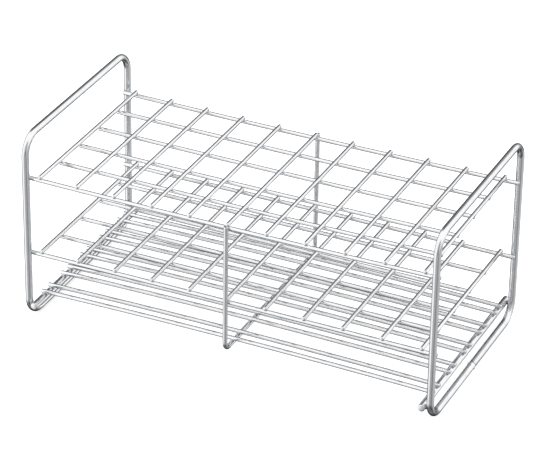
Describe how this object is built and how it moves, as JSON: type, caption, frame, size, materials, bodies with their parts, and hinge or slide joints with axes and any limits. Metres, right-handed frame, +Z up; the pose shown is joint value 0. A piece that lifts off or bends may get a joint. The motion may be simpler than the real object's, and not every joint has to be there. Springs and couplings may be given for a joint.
{
  "type": "test tube rack",
  "caption": "Open wire rack with end frames, grids of square holes that hold test tubes upright, and a wire shelf under them.",
  "frame": {"origin": "on the surface that the rack stands on, under the middle of the rack", "axes": "+X along the rack's length, +Y across it from front to back (the rack is the same from both sides), +Z up"},
  "size_m": [0.238, 0.1216, 0.1116],
  "materials": {
    "grid_wire": "electropolished stainless steel wire, bright",
    "support_wire": "electropolished stainless steel wire, bright",
    "frame_wire": "electropolished stainless steel wire, bright, with faint drawing marks"
  },
  "bodies": {
    "root": {"left_end_frame": "frame_wire", "right_end_frame": "frame_wire", "top_long_wire_1": "grid_wire", "top_long_wire_2": "grid_wire", "top_long_wire_3": "grid_wire", "top_long_wire_4": "grid_wire", "top_long_wire_5": "grid_wire", "top_long_wire_6": "grid_wire", "top_cross_wire_01": "grid_wire", "top_cross_wire_02": "grid_wire", "top_cross_wire_03": "grid_wire", "top_cross_wire_04": "grid_wire", "top_cross_wire_05": "grid_wire", "top_cross_wire_06": "grid_wire", "top_cross_wire_07": "grid_wire", "top_cross_wire_08": "grid_wire", "top_cross_wire_09": "grid_wire", "top_cross_wire_10": "grid_wire", "top_cross_wire_11": "grid_wire", "middle_long_wire_1": "grid_wire", "middle_long_wire_2": "grid_wire", "middle_long_wire_3": "grid_wire", "middle_long_wire_4": "grid_wire", "middle_long_wire_5": "grid_wire", "middle_long_wire_6": "grid_wire", "middle_cross_wire_01": "grid_wire", "middle_cross_wire_02": "grid_wire", "middle_cross_wire_03": "grid_wire", "middle_cross_wire_04": "grid_wire", "middle_cross_wire_05": "grid_wire", "middle_cross_wire_06": "grid_wire", "middle_cross_wire_07": "grid_wire", "middle_cross_wire_08": "grid_wire", "middle_cross_wire_09": "grid_wire", "middle_cross_wire_10": "grid_wire", "middle_cross_wire_11": "grid_wire", "shelf_wire_01": "grid_wire", "shelf_wire_02": "grid_wire", "shelf_wire_03": "grid_wire", "shelf_wire_04": "grid_wire", "shelf_wire_05": "grid_wire", "shelf_wire_06": "grid_wire", "shelf_wire_07": "grid_wire", "shelf_wire_08": "grid_wire", "shelf_wire_09": "grid_wire", "shelf_wire_10": "grid_wire", "left_shelf_bar": "frame_wire", "right_shelf_bar": "frame_wire", "centre_support": "support_wire"}
  },
  "joints": []
}
